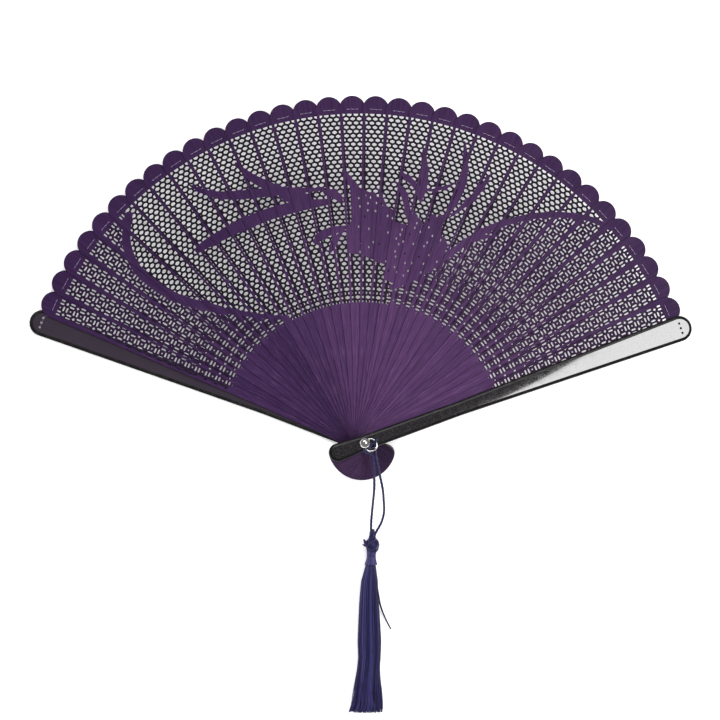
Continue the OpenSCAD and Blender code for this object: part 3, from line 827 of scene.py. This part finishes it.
# ---- Tassel knot -----------------------------------------------------------------
# Both strands and the tassel's own threads are drawn into one hard round knot. A short cone of
# cord leads into it, and the cut ends of the tie stick out on its left side.
KNOT = np.array([6.5, -55.2, 4.6])
turns = np.linspace(0, 2 * np.pi, 420)
swing, tilt = 5 * turns, 1.05 * np.sin(4 * turns)
wound = np.column_stack(
    [np.cos(tilt) * np.cos(swing) * 3.05, np.sin(tilt) * 3.75, np.cos(tilt) * np.sin(swing) * 3.1]
) + KNOT
points, faces, along, lobe, _ = spin(wound[:-1], 0.92, 0.8, sides=10, ply=0.12, pitch=3.0)
wound_knot = add_piece("knot_winding", points, faces, [silk_cord], marks={"along": along, "ply": lobe}, smooth=70)

lat, lon = np.meshgrid(np.linspace(-np.pi / 2, np.pi / 2, 18), np.arange(28) * 2 * np.pi / 28, indexing="ij")
core = np.stack(
    [3.1 * np.cos(lat) * np.cos(lon), 3.9 * np.sin(lat), -3.1 * np.cos(lat) * np.sin(lon)], -1
).reshape(-1, 3) + KNOT
grid = np.arange(18 * 28).reshape(18, 28)
faces = np.stack([grid[:-1], np.roll(grid, -1, 1)[:-1], np.roll(grid, -1, 1)[1:], grid[1:]], -1).reshape(-1, 4)
# The core takes the colour a quarter of the way from the grooves to the crests: painted shade in the winding's gaps.
knot_core = add_piece("knot_core", core, [faces], [silk_cord], marks={"along": core[:, 1], "ply": 0.25}, smooth=70)

station = np.linspace(0, 1, 26)
leads = []
for phase in np.radians([0, 72, 144, 216, 288]):
    spread = 0.5 + 1.1 * station
    leads.append(
        np.column_stack(
            [
                6.35 + 0.1 * station + spread * np.cos(phase + 2.2 * station), -46.6 - 5.6 * station,
                5.75 - 0.9 * station + spread * np.sin(phase + 2.2 * station)
            ]
        )
    )
points, faces, along, lobe, _ = spin(np.array(leads), 0.72, sides=8, ply=0.14, pitch=2.2)
knot_lead = add_piece("knot_lead", points, faces, [silk_cord], marks={"along": along, "ply": lobe}, smooth=70)
for piece in (wound_knot, knot_core, knot_lead):
    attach(piece, "tassel")
    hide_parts("tassel_knot")

# ---- Tassel threads --------------------------------------------------------------
# Some hundreds of fine silk threads, folded over and bound under the knot into a smooth neck,
# then combed out into the long skirt. Their cut ends are uneven, and one thread has sprung out.
silk_threads, tree, shader = new_finish(
    "silk_threads",
    {"Specular IOR Level": 0.3, "Sheen Weight": 0.08, "Sheen Roughness": 0.3, "Sheen Tint": (0.55, 0.5, 1, 1)}
)
shade_of = add_node(tree, "ShaderNodeAttribute", attribute_name="shade")
along_silk = add_node(tree, "ShaderNodeAttribute", attribute_name="along")
ripple = add_node(
    tree, "ShaderNodeTexNoise", {"W": along_silk.outputs["Fac"], "Scale": 0.35, "Detail": 2}, noise_dimensions="1D"
)
dyed = mixed_colour(tree, shade_of.outputs["Fac"], (0.0008, 0.0007, 0.005, 1), (0.072, 0.063, 0.215, 1))
lit = mixed_colour(tree, ripple.outputs["Fac"], dyed, (0.012, 0.011, 0.055, 1))
mixed = mixed_colour(tree, 0.4, dyed, lit)
tree.links.new(mixed, shader.inputs["Base Color"])
gloss = add_node(tree, "ShaderNodeMapRange", {"Value": ripple.outputs["Fac"], "To Min": 0.26, "To Max": 0.48})
tree.links.new(gloss.outputs["Result"], shader.inputs["Roughness"])

GOLDEN_ANGLE = 2.39996               # spaces the neck's threads evenly, in no rows
count = 110
around = np.arange(count) * GOLDEN_ANGLE
station = np.linspace(0, 1, 12)[None]
layer = np.where(np.arange(count) % 3, 1.0, 0.62)[:, None]
pinch = 2.5 - 0.35 * np.sin(np.pi * np.clip(station * 1.25, 0, 1)) + 0.75 * station ** 3
neck = np.stack(
    np.broadcast_arrays(
        6.1 - 0.3 * station + pinch * layer * np.cos(around)[:, None], -58.4 - 7.4 * station,
        4.1 - 0.4 * station + pinch * layer * np.sin(around)[:, None],
    ),
    -1
)
points, faces, along, _, strand = spin(neck, 0.27, sides=5)
tassel_neck = add_piece(
    "neck_threads", points, faces, [silk_threads],
    marks={"along": along, "shade": chance.uniform(0.2, 1, count)[strand]}, smooth=70
)
turn = np.linspace(0, 2 * np.pi * 5, 200)
binding = np.column_stack([5.98 + 2.42 * np.cos(turn), -60.3 - turn / turn[-1] * 1.5, 3.98 + 2.42 * np.sin(turn)])
points, faces, along, _, _ = spin(binding, 0.17, sides=6)
tassel_binding = add_piece(
    "neck_binding", points, faces, [silk_threads], marks={"along": along, "shade": 0.55}, smooth=70
)
for piece in (tassel_neck, tassel_binding):
    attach(piece, "tassel")
    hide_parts("tassel_neck")

count, stations = 460, 26
share = np.linspace(0, 1, stations)[None]
fall = (80.9 - np.abs(chance.normal(0, 1.7, count)) - 5 * chance.uniform(0, 1, count) ** 8)[:, None] * share
drops = [0, 9.8, 20.6, 42.4, 50.5, 56.5, 64.1, 69.5, 76.1, 80.5]
middle_x = np.interp(fall, drops, [5.75, 5.1, 4.9, 5.1, 5.25, 4.75, 4.3, 4.1, 3.95, 3.2])
half = np.interp(fall, drops, [2.4, 4.5, 5.2, 6.35, 6.0, 6.05, 6.7, 7.5, 8.1, 8.9])
middle_z = np.interp(fall, [0, 37, 80.5], [3.7, 3.0, 2.0])
deep = np.interp(fall, [0, 37, 80.5], [2.3, 2.5, 1.55])
round_by, out_by = chance.uniform(0, 2 * np.pi, count), np.sqrt(chance.uniform(0.12, 1, count))
a, b = (out_by * np.cos(round_by))[:, None], (out_by * np.sin(round_by))[:, None]
LOCKS = 12                           # locks of thread to each side of the middle
lock = np.round(a * LOCKS + 0.8 * np.sin(b * 3)) / LOCKS
gather = 0.6 * np.clip((share - 0.3) / 0.7, 0, 1) ** 1.5
wander = 0.05 * np.sin(
    2 * np.pi * (share * chance.uniform(0.6, 1.6, (count, 1)) + chance.uniform(0, 1, (count, 1)))
) * share
a = a + (lock - a) * gather + wander + 0.11 * chance.normal(0, 1, (count, 1)) * share ** 5
b = b + 0.07 * np.sin(
    2 * np.pi * (share * chance.uniform(0.5, 1.3, (count, 1)) + chance.uniform(0, 1, (count, 1)))
) * share
skirt = np.stack(
    [middle_x + half * np.clip(a, -1.04, 1.04), -64.9 - fall, np.maximum(middle_z + deep * np.clip(b, -1, 1), 0.3)],
    -1
)
points, faces, along, _, strand = spin(skirt, np.interp(share, [0, 0.1, 1], [0.22, 0.24, 0.19]), sides=4)
own_shade = chance.uniform(0, 1, count)
lock_shade = chance.uniform(0, 1, 40)[np.round(lock[:, 0] * LOCKS).astype(int) + 16]
skirt_shade = 0.35 * own_shade + 0.65 * lock_shade ** 1.8
tassel_skirt = add_piece(
    "skirt_threads", points, faces, [silk_threads],
    marks={"along": along + strand * 13.7, "shade": skirt_shade[strand]}, smooth=80
)
stray = smooth(
    np.array(
        [
            (9.2, -79, 4.2), (9.9, -82.5, 4.0), (10.6, -86, 3.3), (11.8, -89.8, 2.4), (13.4, -93.6, 1.4),
            (15.2, -97.2, 0.7), (17.2, -100.8, 0.4)
        ]
    ),
    5
)
points, faces, along, _, _ = spin(stray, np.linspace(0.62, 0.38, len(stray)), sides=7)
stray_thread = add_piece(
    "stray_thread", points, faces, [silk_threads], marks={"along": along, "shade": 0.15}, smooth=80
)
tufts = []
for start, end, fan_out in (
    ((3.9, -54.4, 5.2), (1.6, -52.2, 5.0), 0.7), ((3.7, -56.4, 4.9), (1.7, -55.0, 4.4), 0.6),
    ((3.9, -55.4, 5.4), (2.0, -53.5, 5.6), 0.5)
):
    for _ in range(12):
        tip = np.array(end) + chance.normal(0, 1, 3) * fan_out * (0.5, 0.5, 0.4)
        bow = (np.array(start) + tip) / 2 + chance.normal(0, 0.15, 3)
        tufts.append(smooth(np.array([start, bow, tip]), 4))
points, faces, along, _, strand = spin(np.array(tufts), 0.15, sides=4)
knot_tufts = add_piece(
    "knot_tufts", points, faces, [silk_threads],
    marks={"along": along, "shade": chance.uniform(0, 0.8, len(tufts))[strand]}, smooth=80
)
for piece in (tassel_skirt, stray_thread, knot_tufts):
    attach(piece, "tassel")
    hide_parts("tassel_skirt" if piece is not knot_tufts else "tassel_knot")
